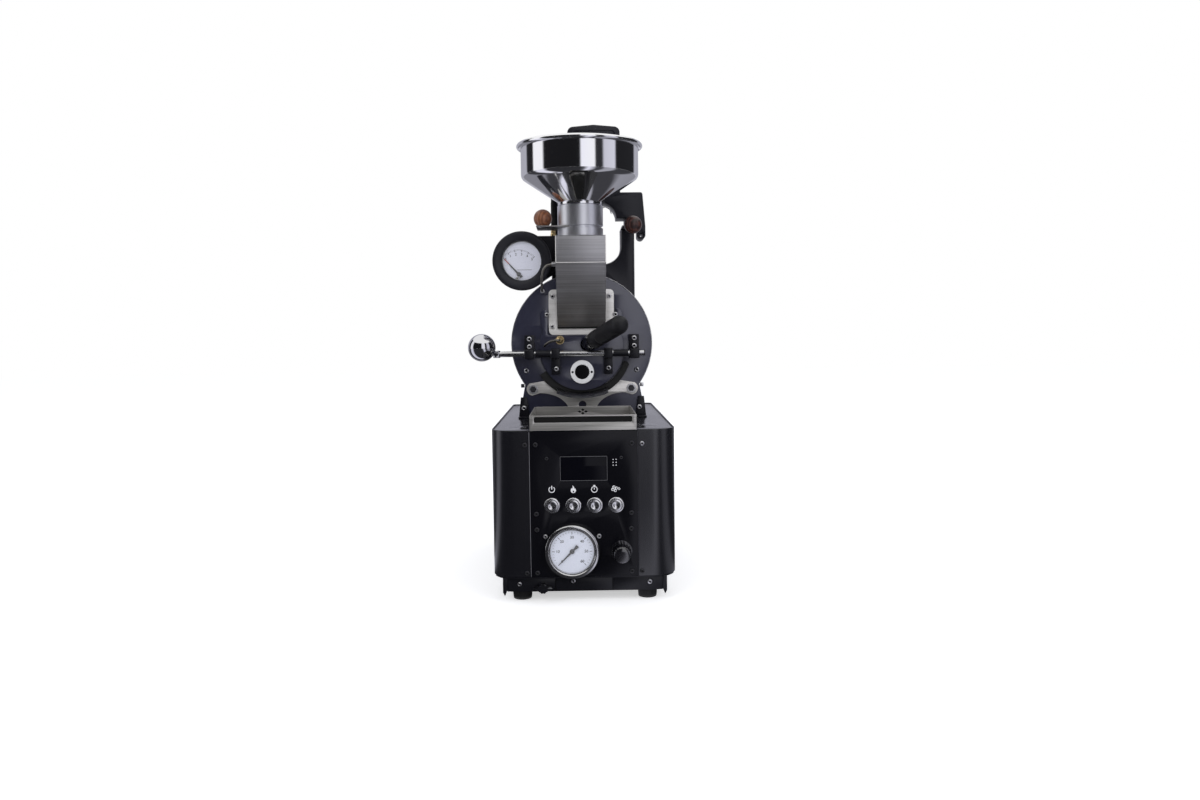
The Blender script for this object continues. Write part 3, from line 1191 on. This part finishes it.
# The hopper is spun from stainless sheet and mirror polished, with a rolled bead round its rim. It
# stands loose in the collar by its spigot.
mirror_steel = lathed("mirror_steel", (0.90, 0.90, 0.91), 0.05, 0.05, 500, 0.03)
bead = arc((78.8, 562), 3.2, -135, 150, 18)
hopper_outside = [(20.5, 474), (21.7, 474), (21.7, 486.3), (28.4, 486.3), (29, 486.9), (29, 489.6),
                  (29.6, 490.8), (71.5, 518.4), (74.4, 520.6), (76, 523.2), (76.5, 526),
                  (76.5, 559.6)]
hopper_inside = [(75.5, 561), (75.3, 557), (75.3, 526.4), (74.6, 523.8), (73, 521.4), (70.6, 519.4),
                 (29.2, 492.2), (26.6, 491.2), (20.5, 487.5)]
make_piece("spun_hopper", spun(hopper_outside + bead + hopper_inside, feed_axis, facets=160),
           mirror_steel, "hopper", slot="polished_steel", body="hopper")

# The air gauge has a broad black bezel, a white dial with an arc of plain figures, and a fine
# pointer with a red tip. Its pivot lies low on the left, over a small bright screw.
bezel_black = coated("air_gauge_black", (0.014, 0.014, 0.019), 0.38, depth=0.12, peel=1100,
                     reflect=0.45)
air_white = coated("air_dial", (0.76, 0.77, 0.88), 0.45, depth=0.02, dulling=0.1)
air = (-79, 417.6)
pivot = (-83.5, 400)
air_rest_turn, air_marks_depth = 133, 180.54
air_profile = [
    (0, 180.8), (25.9, 180.8), (25.9, 176.6), (26.9, 176.4), (27.4, 175.2), (29, 174.2),
    (35, 173.1), (37, 173.2), (39, 174.2), (39.5, 175.6), (39.5, 180.6), (38.8, 181.5),
    (36, 182.5), (36, 206), (0, 206)]
make_piece("air_gauge_housing", turned(air_profile, air, 128), bezel_black, "air_gauge_case",
           slot="black_plastic")
make_piece("air_dial_face", turned(rod(25.7, 180.6, 180.75), air), air_white)
air_marks = bmesh.new()
for step in range(26):
    turn = air_rest_turn - step * 3.4
    reach = 33.5 - 0.035 * abs(turn - 90)
    length, width = (3.2, 0.8) if step % 5 == 0 else (1.8, 0.45)
    gather(air_marks, tick(pivot, turn, reach - length, reach, width, air_marks_depth))
for step in range(6):
    spot = round_dial(pivot, 26.8, 131 - step * 16.6)
    gather(air_marks, figure(step, spot, air_marks_depth, 0.1))
gather(air_marks, plate(block((-86, 405.6), (-66, 406.1)), 180.5, 180.56, edge=0.01))
make_piece("air_dial_marks", air_marks, ink)
make_piece("air_lens_glass", turned(rod(26.5, 175.6, 176.5), air), lens_glass, "air_gauge_lens",
           slot="clear_glass")
pointer("air_pointer", pivot, 28.5, 5.7, air_rest_turn, 178.6, 180.2, "air_needle",
        "air_gauge_needle")
red = coated("pointer_red", (0.45, 0.05, 0.03), 0.45, depth=0.0)
make_piece("air_pointer_tip", tick(pivot, air_rest_turn, 19, 28.2, 1.1, 178.5), red,
           body="air_needle")
screw_heads("air_zero_screw", [(-85.5, 178, 394.6)], 2.4, screw_steel, height=1.2)
screw_heads("air_dial_screw", [(-93.4, 180.6, 410)], 1.6, screw_steel, height=0.8)
bracket_plan = arc(air, 36, 90, 250, 40) + [(-79, 382), (-60, 386), (-38, 401), (-24, 403),
                                            (-24, 450), (-28, 453.6)]
make_piece("air_gauge_arm", plate(bracket_plan, 206.5, 221.7, edge=2.5), satin_black,
           "air_gauge_bracket", slot="black_coat")

# The exhaust is a black casting with two columns. A sliding plate with a walnut ball is the damper
# under the blower, whose case has a rimmed hood at the top and an ear with a hole.
casting_black = coated("casting_black", (0.009, 0.009, 0.014), 0.30, depth=0.12, peel=500,
                       reflect=0.4)
saddle = 88.6
column_left, column_right, ear_hole = -40.5, 75, (85.8, 456)
left_deg, right_deg = [math.degrees(math.acos(edge / saddle))
                       for edge in (column_left, column_right)]
manifold_plan = (arc(drum_middle, saddle, left_deg, right_deg, 40)
                 + [(column_right, 462.6), (56.5, 462.6)] + arc((31.5, 440.5), 25, 0, -90, 24)
                 + arc((-19, 419.5), 4, 270, 180, 6) + [(-23, 500.6), (column_left, 500.6)])
make_piece("exhaust_casting", plate(manifold_plan, 222, 274, edge=4), casting_black,
           "exhaust_manifold", slot="black_coat")
dress("damper_plate", crosswise_steel)
wooden_ball("damper_knob_walnut", (70.5, 172, 463.9), outward, walnut, "damper", "dark_wood")
blower_plan = ([(column_left, 501), (34.4, 501)] + arc((28.9, 479.4), 21.6, 66, 0, 16)
               + [(62.5, 479.4), (62.5, 465.2), (80.2, 465.2)] + arc(ear_hole, 5.6, 180, 360, 20)
               + [(91.4, 468), (87.7, 512)] + arc((84.5, 512.2), 3.2, 0, 90, 6)
               + [(56.5, 515.4), (56.5, 598)] + arc((48.5, 598), 8, 0, 80, 10) + [(20, 608.5)]
               + arc((-8.3, 598), 8, 100, 180, 10) + [(-16.3, 549), (column_left, 523)])
make_piece("blower_housing", plate(blower_plan, 234, 280, [circle(ear_hole, 2.6, 24)], edge=2.0),
           casting_black, "blower_case", slot="black_coat")
hood = plate(block((-12, 570), (52, 603), 6), 232.9, 234.6, [block((-8.5, 573), (48.5, 600), 4)],
             edge=0.5)
make_piece("blower_hood_rim", hood, casting_black, slot="black_coat")
dress("blower_impeller", crosswise_steel)

# Two braided probe leads and the gauge's hose. One lead goes into a brass gland beside the door and
# one from the plate up to the chute. The hose is black rubber and runs up behind the collar.


def swept(route, radius, smoothness=12):
    """A round lead along a route that is smoothed between its points."""
    data = bpy.data.curves.new("lead", "CURVE")
    data.dimensions = "3D"
    data.bevel_depth = radius
    data.bevel_resolution = 4
    data.use_fill_caps = True
    spline = data.splines.new("NURBS")
    spline.points.add(len(route) - 1)
    for point, place in zip(spline.points, route):
        point.co = (*place, 1)
    spline.use_endpoint_u = True
    spline.order_u = 3
    spline.resolution_u = smoothness
    return mesh_of(data)


braid = brushed("braided_lead", (0.20, 0.19, 0.17), (0.40, 0.38, 0.34), (900, 900, 900), gloss=0.35)
door_lead = swept([(-29.5, 169, 311), (-29.5, 163, 311), (-33, 161, 311), (-42, 164, 309.5),
                   (-49, 168, 305.5), (-50, 171, 303)], 1.6)
make_piece("door_probe_lead", door_lead, braid, "door_probe", slot="brass")
gland_profile = [(0, 175.9), (5.2, 175.9), (5.2, 174.6), (4.2, 173.8), (4, 170), (2.4, 168.6),
                 (0, 168.6)]
gland_washer = [(0, 175.8), (5.8, 175.8), (5.8, 174.8), (0, 174.8)]
make_piece("brass_gland", gather(turned(gland_profile, gland_place, 6),
                                 turned(gland_washer, gland_place, 40)), brass)
chute_lead = swept([(-52, 178.6, 377), (-52, 170, 377), (-52, 156, 380), (-52, 150, 392),
                    (-50, 150, 404), (-44, 150, 411), (-33, 150, 411)], 1.6)
make_piece("chute_probe_lead", chute_lead, braid, "chute_probe", slot="brushed_steel")
ferrules = gather(turned([(0, 178.7), (3, 178.7), (3, 173), (2.2, 172), (0, 172)], (-52, 377), 32),
                  spun(rod(3, 0, 6), (-38.6, 150, 411), rightward, 32))
make_piece("probe_ferrules", ferrules, screw_steel)
hose = swept([(-37, 218.7, 453.9), (-37, 218.7, 470), (-37, 218.7, 490), (-37, 218.7, 508),
              (-37, 222, 512.5), (-37, 233.6, 512.5)], 3, 10)
make_piece("gauge_rubber_hose", hose, rubber, "gauge_hose", slot="rubber")
barb_profile = [(0, 453.7), (4.2, 453.7), (4.2, 457), (3.4, 458), (3.9, 460), (3.3, 462), (0, 462)]
make_piece("hose_barb", spun(barb_profile, (-37, 218.5, 0), facets=32), brass)

# A bent steel wire hook hangs from the blower's case between the casting's columns. Two small
# clips sit at the front plate's waist, a dark one on the left and a bright one on the right.
hook = swept([(26, 234.8, 505), (26, 232.8, 501), (27.5, 232.6, 495), (31, 232.6, 493.6),
              (36, 232.6, 495.2), (40, 232.6, 493.8), (42.6, 232.6, 490), (43.5, 232.6, 485.6)],
             0.75)
make_piece("lifting_hook", hook, screw_steel)
make_piece("left_waist_clip", bar((-83.2, 180, 247), (-78.6, 184, 252), 0.6), screw_black)
make_piece("right_waist_clip", bar((78.6, 180, 247), (83.2, 184, 252), 0.6), screw_steel)
